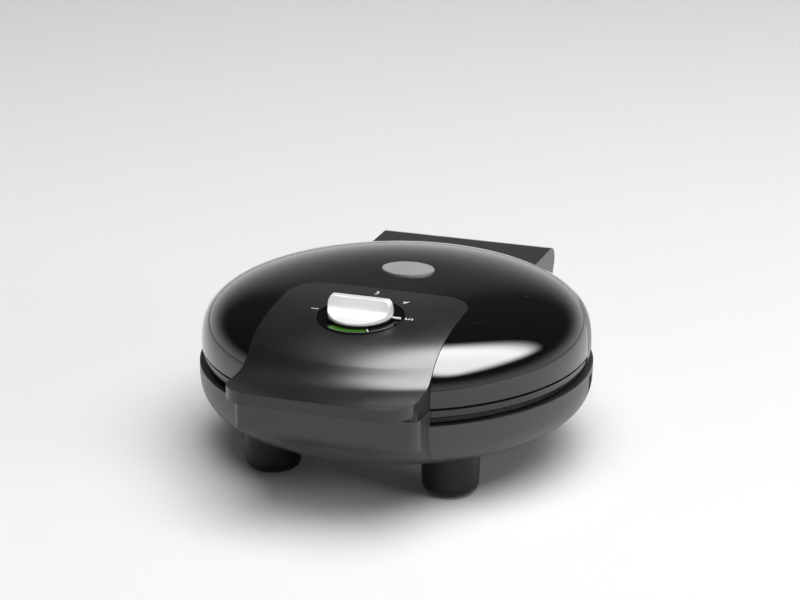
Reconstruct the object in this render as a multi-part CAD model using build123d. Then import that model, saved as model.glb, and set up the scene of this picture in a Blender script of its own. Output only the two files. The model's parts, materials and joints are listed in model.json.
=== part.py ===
from build123d import *
import os
from math import cos, degrees, atan2, pi, sin, sqrt

# Donut maker with a hinged lid, seven donut moulds and a thermostat knob. Millimetres, +Z up.
# X is to the right seen from the front, the handle is at -Y and the hinge at +Y.
# The origin is on the standing plane, under the axis of the round body.

# Donut moulds
DONUT_RING_RADIUS = 16.0  # from a donut's centre to the middle of its dough ring
DONUT_TUBE_RADIUS = 11.5  # half the thickness of the dough ring
DONUT_PITCH = 60.5  # centre donut to the six around it
CUP_WALL = 2.5
PLATE_MARGIN = 11.8  # from the outer donuts to the edge of the plate
PLATE_FLANGE = 3.0
PLATE_GAP = 0.4  # between the two closed plates

# Heating
ELEMENT_RADIUS = 3.3
ELEMENT_GAP_ANGLE = 28.0  # half the open part of the ring
ELEMENT_PIN = 8.7  # the heater's ends stand out this far from its middle line
CLAMP_STRAP = 1.2
SHIELD_SHEET = 0.6
SHIELD_CLEARANCE = 1.2

# Casings
PLATE_TO_BASE_RIM = 7.2  # radial, from the plate's edge to the outside of the base
LID_STEP = 1.2  # the lid is this much smaller in radius than the base
BASE_WALL = 2.4
COVER_WALL = 2.2
GROUND_CLEARANCE = 18.0
SPACE_UNDER_SHIELD = 6.6
CONTROL_SPACE = 16.1  # above the upper shield, for the thermostat
BOWL_ROUNDNESS = (4.25, 3.6)  # exponents of the bowl's section, radial and vertical
DOME_ROUNDNESS = (4.1, 3.3)
SEAM_GAP = 0.2  # between casings that meet in a visible line

# Rings round the lid's lower edge, heights above the base rim
LID_BOTTOM = 0.8
LOWER_RING_TOP = 3.6
UPPER_RING_BOTTOM = 4.1
UPPER_RING_TOP = 7.8
COVER_BOTTOM = 9.4
LID_BOTTOM_TAPER = 2.8

# Front panel and handle
PANEL_HALF_WIDTH = 50.3
PANEL_BACK = 16.0  # in front of the body's axis
PANEL_BACK_CORNER = 17.0
PANEL_PROUD = 0.4
PANEL_SKIN = 2.2
HANDLE_REACH = 26.7  # beyond the lid
HANDLE_CORNER = 16.0
LIP_THICKNESS = 6.0
LIP_TOP = 20.9  # above the base rim
APRON_REACH = 6.2  # the base's front boss beyond the lid
APRON_CORNER = 5.0
APRON_KNEE = 4.4  # the lower edge starts to round this far below the rim

# Dial
DIAL_Y = 56.7
DIAL_TILT = 3.5
DIAL_RADIUS = 23.0
DIAL_THICKNESS = 2.4
DIAL_SINK = 0.6
LENS_INNER = 18.6
LENS_OUTER = 22.4
LENS_ARCS = {"green_lens": (-122.0, -62.0), "clear_lens": (-58.0, -16.0)}  # start and end, degrees
KNOB_RADIUS = 17.2
KNOB_HEIGHT = 10.5
RIDGE_WIDTH = 3.6
RIDGE_HALF_LENGTH = 14.3
RIDGE_END_ROUND = 4.4
SCOOP_CREASE = 6.0  # where the scoop meets the shelf in front of it, from the axis
SHAFT_RADIUS = 3.0

# Badge on the dome
BADGE_Y = 19.5
BADGE_HALF_WIDTH = 14.5
BADGE_HALF_DEPTH = 11.5
BADGE_THICKNESS = 0.9
BADGE_PIN = 1.2

# Hinge
HINGE_STANDOFF = 8.2  # axis behind the lid's outside
HINGE_LIFT = 7.6  # axis above the base rim
HINGE_REACH = 26.7  # rear face beyond the lid
HINGE_HALF_WIDTH = 50.8
HINGE_BLOCK_TOP = 27.45  # above the base rim
HINGE_BLOCK_ROUND = 8.0
HINGE_LEAN = 27.0  # the rear face leans back by this angle
HINGE_FACE = 13.6  # foot of the rear face behind the axis
HINGE_END_RADIUS = 8.6
HINGE_WALL = 2.4
PIN_RADIUS = 2.5
EAR_RADIUS = 6.5
EAR_INNER = 33.0
EAR_OUTER = 39.0
KNUCKLE = 4.0
KNUCKLE_GAP = 0.5
REAR_SEAM_Y = 8.0
REAR_SEAM_HEIGHT = 29.6  # above the base rim
REAR_SEAM_CORNER = 22.0

# Feet
FOOT_X = 50.0
FOOT_Y = 57.0
FOOT_TOP_RADIUS = 16.1
FOOT_RADIUS = 15.2
FOOT_ROUND = 6.0
PAD_THICKNESS = 2.2
PAD_RADIUS = 8.0
PAD_PROUD = 0.8

# Inlet for the mains lead
INLET_RADIUS = 3.6
GLAND_RADIUS = 6.0
GLAND_FLANGE = 8.5
GLAND_FLANGE_THICKNESS = 3.0
INLET_LIFT = 15.0  # above the underside of the bowl
SLEEVE_RADIUS = 3.4
SLEEVE_RUN = 13.0  # beside the body's axis
SLEEVE_RISE = 12.0  # from the hinge axis to where it enters the lid

# Fasteners and fits
SCREW_RADIUS = 1.8
SMALL_SCREW_RADIUS = 1.5
SCREW_ANGLES = (60, 120, 240, 300)  # round the plates
PLATE_SCREW_INSET = 2.5  # from the upper plate's edge
CLAMP_SCREW_OFFSET = 8.8
CORD_SCREW_OFFSET = 10.5
REAR_SCREW_OFFSET = 20.0
REAR_SCREW_LIFT = 4.8  # above the upper plate's flange
SCREW_FIT = 0.05
RUNNING_FIT = 0.05
SEAT_GAP = 0.15

# Sizes worked out from the ones above
cup_radius = DONUT_RING_RADIUS + DONUT_TUBE_RADIUS
cup_depth = DONUT_TUBE_RADIUS + CUP_WALL
plate_radius = DONUT_PITCH + cup_radius + PLATE_MARGIN
base_radius = plate_radius + PLATE_TO_BASE_RIM
lid_radius = base_radius - LID_STEP
heating_stack = 2 * ELEMENT_RADIUS + CLAMP_STRAP + SHIELD_CLEARANCE + SHIELD_SHEET
base_depth = cup_depth - PLATE_GAP / 2 + heating_stack + SPACE_UNDER_SHIELD + BASE_WALL
rim = GROUND_CLEARANCE + base_depth
lower_face = rim + PLATE_GAP / 2
upper_face = lower_face + PLATE_GAP
lid_bottom = rim + LID_BOTTOM
equator = rim + UPPER_RING_TOP - 0.2
lid_top = upper_face + cup_depth + heating_stack + CONTROL_SPACE + COVER_WALL
lid_rise = lid_top - equator
handle_y = -(lid_radius + HANDLE_REACH)
apron_y = -(lid_radius + APRON_REACH)
apron_top = rim + COVER_BOTTOM - 0.6
hinge_y = lid_radius + HINGE_STANDOFF
hinge_z = rim + HINGE_LIFT
hinge_back = lid_radius + HINGE_REACH
sleeve_high = hinge_z + SLEEVE_RISE
rear_screw_z = upper_face + PLATE_FLANGE + REAR_SCREW_LIFT
plate_screw_ring = plate_radius - PLATE_SCREW_INSET
block_top = rim + HINGE_BLOCK_TOP
column_ring = plate_radius - PLATE_MARGIN
shield_radius = column_ring - 5.6
lower_shield_top = lower_face - cup_depth - 2 * ELEMENT_RADIUS - CLAMP_STRAP - SHIELD_CLEARANCE
upper_shield_bottom = upper_face + cup_depth + 2 * ELEMENT_RADIUS + CLAMP_STRAP + SHIELD_CLEARANCE
inlet_z = GROUND_CLEARANCE + INLET_LIFT
far = 2 * (hinge_back + KNOB_HEIGHT)

UPRIGHT = (Align.CENTER, Align.CENTER, Align.MIN)


# Shapes that many pieces are made from


def rod(radius, low, high, x=0.0, y=0.0):
    return Pos(x, y, low) * Cylinder(radius, high - low, align=UPRIGHT)


def rod_along_x(radius, left, right, y, z):
    return Pos(left, y, z) * Rot(0, 90, 0) * Cylinder(radius, right - left, align=UPRIGHT)


def rod_along_y(radius, front, back, x, z):
    return Pos(x, front, z) * Rot(-90, 0, 0) * Cylinder(radius, back - front, align=UPRIGHT)


def block(x, y, z):
    """A box between a low and a high limit on each axis."""
    size = [high - low for low, high in (x, y, z)]
    return Pos(x[0], y[0], z[0]) * Box(*size, align=(Align.MIN, Align.MIN, Align.MIN))


def turned(points):
    """A ring or disc turned about Z from corners given as radius and height."""
    return revolve(Plane.XZ * make_face(Polyline(*points, close=True)), Axis.Z)


def profile_along_x(points, half_width):
    """A bar along X, centred, from corners given as Y and Z."""
    return extrude(Plane.YZ * make_face(Polyline(*points, close=True)), half_width, both=True)


def around(angles, radius):
    """A location at each angle, turned so that its own X points outward."""
    return [Rot(0, 0, angle) * Pos(radius, 0, 0) for angle in angles]


def group(shapes):
    return Compound(children=list(shapes))


def rounded_points(radius, start, rise, roundness, count=16, crowding=1.4):
    """Points of a rounded section from the rim to the axis, closer together towards the axis."""
    n, m = roundness
    turns = [(1 - (1 - k / count) ** crowding) * pi / 2 for k in range(count + 1)]
    points = [(radius * cos(t) ** (2 / n), start + rise * sin(t) ** (2 / m)) for t in turns[:-1]]
    return points + [(0.0, start + rise)]


def rounded_curve(radius, start, rise, roundness):
    """The rounded section as one curve, upright at the rim and level at the axis."""
    upright = 1 if rise > 0 else -1
    return Spline(*rounded_points(radius, start, rise, roundness), tangents=[(0, upright), (-1, 0)])


def bowl(grow=0.0):
    radius = base_radius + grow
    depth = base_depth + grow
    curve = rounded_curve(radius, rim, -depth, BOWL_ROUNDNESS)
    sides = Polyline((0, rim - depth), (0, rim + 1.0), (radius, rim + 1.0), (radius, rim))
    return revolve(Plane.XZ * make_face(curve + sides), Axis.Z)


def lid_body(grow=0.0):
    """The outside of the closed lid, from its tapered lower edge to the top of the dome."""
    radius = lid_radius + grow
    foot = radius - LID_BOTTOM_TAPER
    middle = (radius - LID_BOTTOM_TAPER * 0.35, (lid_bottom + equator) / 2)
    curve = rounded_curve(radius, equator, lid_rise + grow, DOME_ROUNDNESS)
    edge = ThreePointArc((foot, lid_bottom), middle, (radius, equator))
    sides = Polyline((0, equator + lid_rise + grow), (0, lid_bottom), (foot, lid_bottom))
    return revolve(Plane.XZ * make_face(curve + edge + sides), Axis.Z)


def dome_height(distance, grow=0.0):
    n, m = DOME_ROUNDNESS
    return equator + (lid_rise + grow) * (1 - (distance / (lid_radius + grow)) ** n) ** (1 / m)


def panel_body(drop=0.0):
    """The front panel's outside, and everything under it: the dome, then a brim that is the handle."""
    dome = rounded_points(
        lid_radius + PANEL_PROUD - drop, equator, lid_rise + PANEL_PROUD - drop, DOME_ROUNDNESS
    )
    dome = [point for point in dome if point[1] > rim + LIP_TOP + 4.0]
    lip = rim + LIP_TOP - drop
    brim = [
        (lid_radius + 3.4 - drop * 0.6, lip + 1.0),
        (lid_radius + 9.2, lip - 0.2),
        (lid_radius + 15.2, lip - 0.4),
        (lid_radius + 21.2, lip),
        (lid_radius + HANDLE_REACH * 1.35, lip + 0.9),
    ]
    curve = Spline(*(brim[::-1] + dome), tangents=[(-1, -0.12), (-1, 0)])
    floor = rim + COVER_BOTTOM
    sides = Polyline((0, dome[-1][1]), (0, floor), (brim[-1][0], floor), brim[-1])
    return revolve(Plane.XZ * make_face(curve + sides), Axis.Z)


def panel_outline(grow=0.0):
    """The front panel seen from above."""
    back = -PANEL_BACK + grow
    front = handle_y - grow
    plan = Pos(0, (back + front) / 2) * Rectangle(2 * (PANEL_HALF_WIDTH + grow), back - front)
    plan = fillet(plan.vertices().group_by(Axis.Y)[-1], PANEL_BACK_CORNER + grow)
    return fillet(plan.vertices().group_by(Axis.Y)[0], HANDLE_CORNER + grow)


def panel_prism(grow=0.0, low=0.0, high=far):
    return extrude(Pos(0, 0, low) * panel_outline(grow), high - low)


def rear_region(grow=0.0):
    """The part of the lid behind the side seams and below the dome's rear seam."""
    seam_z = rim + REAR_SEAM_HEIGHT + grow
    plan = Pos(REAR_SEAM_Y - grow, seam_z) * Rectangle(far, far, align=(Align.MIN, Align.MAX))
    corner = plan.vertices().sort_by(Axis.X)[:2].sort_by(Axis.Y)[-1]
    return extrude(Plane.YZ * fillet(corner, REAR_SEAM_CORNER + grow), far, both=True)


def dial_frame():
    """The dial's own frame: on the panel's surface, Z along the knob's axis."""
    height = dome_height(DIAL_Y, PANEL_PROUD)
    return Pos(0, -DIAL_Y, height) * Rot(DIAL_TILT, 0, 0)


def screw(radius, head_radius, head, length):
    """A pan-head screw with its head's underside at 0, its shank along +Z and a cross slot."""
    body = rod(head_radius, -head, 0) + rod(radius, 0, length)
    slot = Box(head_radius * 1.2, 0.6, 0.8) + Box(0.6, head_radius * 1.2, 0.8)
    return body - Pos(0, 0, -head) * slot


# The two cooking plates and what heats them


def cup_places():
    return [Pos(0, 0, 0)] + [Pos(*place.position) for place in around(range(30, 390, 60), DONUT_PITCH)]


def cup_outside():
    """The back of one mould, below a plate whose face is at 0."""
    outer = DONUT_TUBE_RADIUS + CUP_WALL
    start = (DONUT_RING_RADIUS + outer, 0)
    middle = (DONUT_RING_RADIUS + outer * sqrt(0.5), -outer * sqrt(0.5))
    flat = (DONUT_RING_RADIUS, -outer)
    edge = ThreePointArc(start, middle, flat) + Polyline(flat, (0, -outer), (0, 0), start)
    return revolve(Plane.XZ * make_face(edge), Axis.Z)


def clamp_places():
    return around((0, 180, 240, 300), DONUT_PITCH)


def heating_plate():
    """A cast plate with its cooking face at 0 and its moulds hanging below it."""
    plate = rod(plate_radius, -PLATE_FLANGE, 0)
    for place in cup_places():
        plate = plate + place * cup_outside()
    for place in cup_places():
        plate = plate - place * Torus(DONUT_RING_RADIUS, DONUT_TUBE_RADIUS)
    for place in clamp_places():
        for offset in (-CLAMP_SCREW_OFFSET, CLAMP_SCREW_OFFSET):
            boss = rod(4.0, -cup_depth, -1.0)
            hole = rod(SMALL_SCREW_RADIUS + SCREW_FIT, -cup_depth - 1, -cup_depth + 6.0)
            plate = plate + place * Pos(offset, 0, 0) * boss - place * Pos(offset, 0, 0) * hole
    stud_end = -cup_depth - 2 * ELEMENT_RADIUS - CLAMP_STRAP - SHIELD_CLEARANCE
    plate = plate + rod(4.5, stud_end, -cup_depth + 1)
    return plate - rod(SCREW_RADIUS + SCREW_FIT, stud_end - 1, -cup_depth + 2)


def long_screw_places():
    return around(SCREW_ANGLES, column_ring)


def lower_plate():
    plate = Pos(0, 0, lower_face) * heating_plate()
    for place in long_screw_places():
        boss = rod(4.5, column_top() + 0.2, lower_face - 1)
        hole = rod(SCREW_RADIUS + SCREW_FIT, column_top(), lower_face - 4.0)
        plate = plate + place * boss - place * hole
    return plate


def upper_plate():
    plate = Pos(0, 0, upper_face) * Rot(180, 0, 0) * heating_plate()
    for place in around(SCREW_ANGLES, plate_screw_ring):
        hole = rod(SMALL_SCREW_RADIUS + SCREW_FIT, upper_face + 0.6, upper_face + PLATE_FLANGE + 1)
        plate = plate - place * hole
    return plate


def element():
    """The tubular heater on the back of a plate whose face is at 0, open at the rear."""
    height = -cup_depth - ELEMENT_RADIUS
    start = 90 + ELEMENT_GAP_ANGLE
    section = Pos(DONUT_PITCH, height) * Circle(ELEMENT_RADIUS)
    ring = revolve(Plane.XZ * section, Axis.Z, 360 - 2 * ELEMENT_GAP_ANGLE)
    ring = Rot(0, 0, start) * ring
    for place in around((start, 90 - ELEMENT_GAP_ANGLE), DONUT_PITCH):
        ring = ring + place * Pos(0, 0, height) * Sphere(ELEMENT_RADIUS)
        ring = ring + place * rod(1.5, height - ELEMENT_PIN, height)
    return ring


def element_clamp():
    """A saddle over the heater, its feet on two bosses of the plate."""
    height = -cup_depth - ELEMENT_RADIUS
    outer = ELEMENT_RADIUS + CLAMP_STRAP
    tunnel = ELEMENT_RADIUS + 0.2
    strap = Pos(0, 0, -cup_depth - CLAMP_STRAP / 2) * Box(25, 8, CLAMP_STRAP)
    cradle = rod_along_y(outer, -4, 4, 0, height)
    cradle = cradle + block((-outer, outer), (-4, 4), (height, -cup_depth))
    opening = rod_along_y(tunnel, -5, 5, 0, height)
    opening = opening + block((-tunnel, tunnel), (-5, 5), (height, -cup_depth + 2))
    clamp = strap + cradle - opening
    for offset in (-CLAMP_SCREW_OFFSET, CLAMP_SCREW_OFFSET):
        clamp = clamp - rod(SMALL_SCREW_RADIUS + SCREW_FIT, -cup_depth - 3, -cup_depth + 1, offset)
    return clamp


def clamp_screws():
    shapes = []
    for place in clamp_places():
        for offset in (-CLAMP_SCREW_OFFSET, CLAMP_SCREW_OFFSET):
            seat = Pos(offset, 0, -cup_depth - CLAMP_STRAP)
            shapes.append(place * seat * screw(SMALL_SCREW_RADIUS, 2.8, 2.0, 6.0))
    return group(shapes)


def heat_shield():
    """A sheet-steel reflector under the heater, with holes for the heater's ends."""
    top = -cup_depth - 2 * ELEMENT_RADIUS - CLAMP_STRAP - SHIELD_CLEARANCE
    bottom = top - SHIELD_SHEET
    sheet = turned(
        [
            (0, bottom),
            (shield_radius, bottom),
            (shield_radius, top + 5.0),
            (shield_radius - SHIELD_SHEET, top + 5.0),
            (shield_radius - SHIELD_SHEET, top),
            (0, top),
        ]
    )
    sheet = sheet - rod(SCREW_RADIUS + 0.2, bottom - 1, top + 1)
    for place in around((90 + ELEMENT_GAP_ANGLE, 90 - ELEMENT_GAP_ANGLE), DONUT_PITCH):
        sheet = sheet - place * rod(4.0, bottom - 1, top + 1)
    return sheet


def shield_screw():
    top = -cup_depth - 2 * ELEMENT_RADIUS - CLAMP_STRAP - SHIELD_CLEARANCE - SHIELD_SHEET
    return Pos(0, 0, top) * screw(SCREW_RADIUS, 3.6, 2.4, 9.0)


def in_base(shape):
    return Pos(0, 0, lower_face) * shape


def in_lid(shape):
    return Pos(0, 0, upper_face) * Rot(180, 0, 0) * shape


def terminal_cutout():
    """Where the lower shield is open for the terminals and the mains lead."""
    return block((-24, 24), (66, far), (lower_shield_top - 3, lower_shield_top + 8))


# The base


def column_top():
    return lower_face - cup_depth + 1.2


def base_floor(x, y):
    """Height of the bowl's inside at a point."""
    n, m = BOWL_ROUNDNESS
    share = sqrt(x * x + y * y) / (base_radius - BASE_WALL)
    return rim - (base_depth - BASE_WALL) * (1 - share**n) ** (1 / m)


def apron_underside(inset=0.0):
    """Everything above the boss's underside, which leaves the bowl and levels out in front."""
    lift = 1.3 * inset
    shares = [(-12.0, -24.9), (-6.0, -21.4), (-0.5, -16.8), (5.0, -10.9), (11.0, -8.4), (18.0, -7.0)]
    points = [(base_radius + out, rim + height + lift) for out, height in shares]
    end = points[-1]
    curve = Spline(*points)
    sides = Polyline(end, (end[0], far), (0, far), (0, points[0][1]), points[0])
    return revolve(Plane.XZ * make_face(curve + sides), Axis.Z)


def apron_section(inset=0.0):
    """The front boss of the base: upright in front, with a rounded lower edge."""
    front = apron_y + inset
    top = apron_top - inset
    knee = rim - APRON_KNEE
    steps = [(0, 0), (1.8, -5.0), (5.5, -8.6), (11.0, -19.0)]
    rounding = [(front + back, knee + rise) for back, rise in steps]
    curve = Spline(*rounding, tangents=[(0, -1), (0.35, -1)])
    foot = (rounding[-1][0], GROUND_CLEARANCE)
    sides = Polyline(rounding[-1], foot, (0, foot[1]), (0, top), (front, top), (front, knee))
    side = extrude(Plane.YZ * make_face(curve + sides), far, both=True)
    plan = Pos(0, apron_y / 2) * Rectangle(2 * (PANEL_HALF_WIDTH - inset), -apron_y - 2 * inset)
    plan = fillet(plan.vertices().group_by(Axis.Y)[0], max(APRON_CORNER - inset, 1.0))
    return side & extrude(plan, far) & apron_underside(inset)


def hinge_ear():
    """One upright ear at the back of the base, from its inner to its outer side."""
    outline = [
        (hinge_y - 10.6, rim - 14.0),
        (hinge_y - 7.6, rim - 14.0),
        (hinge_y - 5.2, rim - 4.0),
        (hinge_y + 0.2, hinge_z - EAR_RADIUS * 0.9),
        (hinge_y, hinge_z),
        (hinge_y - EAR_RADIUS + 0.3, hinge_z + 1.5),
        (hinge_y - EAR_RADIUS - 1.0, rim + 1.0),
        (hinge_y - 11.4, rim - 3.0),
        (hinge_y - 16.0, rim - 3.0),
        (hinge_y - 16.0, rim - 14.0),
    ]
    ear = Pos((EAR_INNER + EAR_OUTER) / 2, 0, 0) * profile_along_x(outline, (EAR_OUTER - EAR_INNER) / 2)
    ear = ear + rod_along_x(EAR_RADIUS, EAR_INNER, EAR_OUTER, hinge_y, hinge_z)
    return ear - rod_along_x(PIN_RADIUS + RUNNING_FIT, EAR_INNER - 1, EAR_OUTER + 1, hinge_y, hinge_z)


def foot_places():
    names = ("front_left", "front_right", "rear_left", "rear_right")
    spots = ((-FOOT_X, -FOOT_Y), (FOOT_X, -FOOT_Y), (-FOOT_X, FOOT_Y), (FOOT_X, FOOT_Y))
    return dict(zip(names, spots))


def foot_seat():
    return base_floor(FOOT_X, FOOT_Y) + 1.6


def base_shell():
    inside = bowl(-BASE_WALL)
    outside = bowl() - block((-far, far), (-far, far), (rim, far))
    back_wall = rod(base_radius + 0.2, rim - 5.0, apron_top) - rod(base_radius - BASE_WALL, rim - 6.0, far)
    apron = apron_section() - rod(base_radius - BASE_WALL, rim - 0.01, far)
    chamber = apron_section(BASE_WALL) - back_wall
    chamber = chamber - bowl() + (chamber & block((-far, far), (-far, -80), (rim - 18.0, rim - 5.0)))
    shell = outside + apron - inside - chamber
    inner = bowl(-BASE_WALL + 0.01)
    for place in long_screw_places():
        shell = shell + (place * rod(5.0, GROUND_CLEARANCE, column_top()) & bowl(-0.5))
        shell = shell - place * rod(SCREW_RADIUS + 0.2, GROUND_CLEARANCE, far)
        shell = shell - place * rod(4.4, 0, GROUND_CLEARANCE + 10.0)
    for x, y in foot_places().values():
        shell = shell + (rod(6.0, GROUND_CLEARANCE + 1, foot_seat(), x, y) & inner)
        shell = shell - rod(SCREW_RADIUS + 0.1, 0, far, x, y)
    seat = rod_along_y(GLAND_FLANGE + 1.0, 0, base_radius + 0.4, 0, inlet_z) - inside
    seat = seat & block((-20, 20), (60, far), (0, far))
    shell = shell + seat
    shell = shell - rod_along_y(GLAND_RADIUS + SEAT_GAP, 60, far, 0, inlet_z)
    for x in (-CORD_SCREW_OFFSET, CORD_SCREW_OFFSET):
        post = rod(3.4, GROUND_CLEARANCE + 2, inlet_z - 3.6, x, clamp_y()) & inner
        shell = shell + post
        shell = shell - rod(SMALL_SCREW_RADIUS + SCREW_FIT, inlet_z - 8.0, inlet_z, x, clamp_y())
    ear = hinge_ear() - lid_side_clearance() - inside
    shell = shell + ear + ear.mirror(Plane.YZ)
    shell = shell - rod(base_radius - 0.9, rim - 1.5, rim + 0.01)
    return shell - side_slots() - sleeve_hole()


def lid_side_clearance():
    return rod(lid_radius + 0.4, rim - 1.5, lid_bottom + 6.0)


def side_slots():
    slot = block((0, far), (REAR_SEAM_Y, REAR_SEAM_Y + 8.0), (rim - 13.0, rim - 2.6))
    slot = slot - rod(base_radius - BASE_WALL - 1.0, 0, far)
    return slot + slot.mirror(Plane.YZ)


def base_trim_ring():
    """The black ring that closes the base's rim and carries the lower plate on its ledge."""
    inner = plate_radius + 0.4
    outer = base_radius - 0.9 - SEAT_GAP
    skirt = base_radius - BASE_WALL - SEAT_GAP
    ledge = lower_face - PLATE_FLANGE
    ring = turned(
        [
            (inner, rim),
            (outer, rim),
            (outer, rim - 1.5),
            (skirt, rim - 1.5),
            (skirt - 0.9, rim - 12.0),
            (skirt - 2.4, rim - 12.0),
            (skirt - 1.5, ledge - 1.6),
            (inner - 3.7, ledge - 1.6),
            (inner - 3.7, ledge),
            (inner, ledge),
        ]
    )
    behind = rod(base_radius - BASE_WALL - SEAT_GAP, 0, far)
    front = block((-PANEL_HALF_WIDTH - 0.2, PANEL_HALF_WIDTH + 0.2), (-far, 0), (0, far)) - behind
    gland = rod_along_y(GLAND_RADIUS + 0.6, 0, far, 0, inlet_z)
    return ring - front - sleeve_hole() - apron_section() - gland


def foot(x, y):
    """A tapered foot, cut to the bowl that it stands under, hollow round its screw post."""
    low = PAD_PROUD
    top = rim - 10.0
    arc = ThreePointArc(
        (FOOT_RADIUS - FOOT_ROUND, low),
        (FOOT_RADIUS - FOOT_ROUND * (1 - sqrt(0.5)), low + FOOT_ROUND * (1 - sqrt(0.5))),
        (FOOT_RADIUS, low + FOOT_ROUND),
    )
    sides = Polyline((FOOT_RADIUS, low + FOOT_ROUND), (FOOT_TOP_RADIUS, top), (0, top), (0, low))
    face = make_face(arc + sides + Line((0, low), (FOOT_RADIUS - FOOT_ROUND, low)))
    body = revolve(Plane.XZ * face, Axis.Z)
    hollow = rod(FOOT_RADIUS - 3.0, low + 5.0, far) - rod(4.2, 0, far)
    body = body - hollow - rod(PAD_RADIUS + 0.1, 0, PAD_THICKNESS)
    body = body - rod(SCREW_RADIUS + SCREW_FIT, low + 4.0, far)
    return Pos(x, y, 0) * body - bowl()


def foot_screws():
    shapes = []
    for x, y in foot_places().values():
        one = screw(SCREW_RADIUS, 3.4, 1.8, foot_seat() - 7.0)
        shapes.append(Pos(x, y, foot_seat()) * Rot(180, 0, 0) * one)
    return group(shapes)


def foot_pad(x, y):
    pad = rod(PAD_RADIUS, 0, PAD_THICKNESS, x, y)
    return fillet(pad.edges().group_by(Axis.Z)[0], 0.5)


def lower_plate_screws():
    seat = GROUND_CLEARANCE + 10.0
    one = Pos(0, 0, seat) * screw(SCREW_RADIUS, 3.6, 2.4, lower_face - 5.0 - seat)
    return group([place * one for place in long_screw_places()])


def clamp_y():
    return base_radius - 19.5


def cord_gland():
    flange_front = base_radius + 0.4
    back = flange_front + GLAND_FLANGE_THICKNESS
    gland = rod_along_y(GLAND_RADIUS, base_radius - 11.0, flange_front, 0, inlet_z)
    gland = gland + rod_along_y(GLAND_FLANGE, flange_front, back, 0, inlet_z)
    gland = chamfer(gland.edges().filter_by(GeomType.CIRCLE).sort_by(Axis.Y)[-1], 0.8)
    return gland - rod_along_y(INLET_RADIUS, 0, far, 0, inlet_z)


def cord_clamp():
    """The saddle that grips the lead inside the base."""
    low = inlet_z - 3.6
    bar = block((-14, 14), (clamp_y() - 3.2, clamp_y() + 3.2), (low, low + 2.8))
    half = INLET_RADIUS + 1.4
    arch = block((-half, half), (clamp_y() - 3.2, clamp_y() + 3.2), (low + 1.0, inlet_z + half))
    tunnel = rod_along_y(INLET_RADIUS, 0, far, 0, inlet_z)
    bar = bar + arch - tunnel - block((-INLET_RADIUS, INLET_RADIUS), (0, far), (0, inlet_z))
    for x in (-CORD_SCREW_OFFSET, CORD_SCREW_OFFSET):
        bar = bar - rod(SMALL_SCREW_RADIUS + SCREW_FIT, 0, far, x, clamp_y())
    return bar


def cord_clamp_screws():
    top = inlet_z - 3.6 + 2.8
    one = Rot(180, 0, 0) * screw(SMALL_SCREW_RADIUS, 2.8, 2.0, 6.0)
    return group([Pos(x, clamp_y(), top) * one for x in (-CORD_SCREW_OFFSET, CORD_SCREW_OFFSET)])


def terminal_y():
    return DONUT_PITCH + 13.0


def terminal_block():
    """A three-way connector standing on the floor of the base."""
    low = base_floor(15, terminal_y() + 5) + 0.1
    body = block((-15, 15), (terminal_y() - 5, terminal_y() + 5), (low, low + 8.0))
    for x in (-10, 0, 10):
        body = body - rod(2.0, low + 5.0, far, x, terminal_y())
        body = body - rod_along_y(1.5, 0, far, x, low + 3.0)
    return body


def thermal_fuse():
    """A cut-out in its sleeve, lying on the lower shield, with its two leads."""
    z = lower_shield_top + 2.1
    return rod_along_x(2.0, -42, -30, 18, z) + rod_along_x(0.6, -50, -22, 18, z)


def earth_tag():
    top = lower_shield_top - SHIELD_SHEET
    tag = rod(5.0, top - 0.8, top) + block((-2, 2), (0, 14), (top - 0.8, top))
    return tag - rod(SCREW_RADIUS + 0.2, 0, far)


def wire(points, radius=1.2, bend=5.0):
    """An insulated lead along straight runs joined by arcs."""
    path = FilletPolyline(*points, radius=bend)
    start = Plane(origin=path @ 0, z_dir=path % 0)
    return sweep(start * Circle(radius), path=path)


def heater_end():
    """Where a heater's pin stands, as distances beside and behind the axis."""
    angle = ELEMENT_GAP_ANGLE * pi / 180
    return DONUT_PITCH * sin(angle), DONUT_PITCH * cos(angle)


def base_leads():
    """Two leads from the terminals to the heater's pins, and one on to the lid's sleeve."""
    x, y = heater_end()
    low = base_floor(15, terminal_y() + 5) + 3.1
    run = lower_face - cup_depth - ELEMENT_RADIUS - ELEMENT_PIN - 1.2
    front = terminal_y() - 5
    shapes = []
    for side in (-1, 1):
        start = (side * 10, front, low)
        drop = (side * 10, front - 7, run)
        shapes.append(wire([start, drop, (side * 10, y, run), (side * x, y, run)], 1.2, 2.0))
    out = (-22, terminal_y(), low + 1)
    climb = (-22, base_radius - 19, low + 9)
    end = base_radius - 12
    path = [(-15, terminal_y(), low + 1), out, climb, (-SLEEVE_RUN, end - 5, sleeve_low())]
    shapes.append(wire([*path, (-SLEEVE_RUN, end, sleeve_low())], 1.2, 2.5))
    return group(shapes)


# The flexible sleeve for the lid's leads, in two halves that meet on the hinge axis


def sleeve_low():
    return rim - 7.0


def sleeve_hole():
    return rod_along_y(SLEEVE_RADIUS + 0.4, base_radius - 20, far, -SLEEVE_RUN, sleeve_low())


def lead_sleeve_lower():
    start = (-SLEEVE_RUN, base_radius - 12.0, sleeve_low())
    corner = (-SLEEVE_RUN, hinge_y, sleeve_low())
    rise = (-SLEEVE_RUN, hinge_y, hinge_z)
    return wire([start, corner, rise, (0, hinge_y, hinge_z)], SLEEVE_RADIUS, 5.0)


def lead_sleeve_upper():
    high = sleeve_high
    rise = (SLEEVE_RUN, hinge_y, hinge_z)
    corner = (SLEEVE_RUN, hinge_y, high)
    inside = (SLEEVE_RUN, lid_radius - 12.0, high)
    return wire([(0, hinge_y, hinge_z), rise, corner, inside], SLEEVE_RADIUS, 5.0)


# The lid


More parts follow.
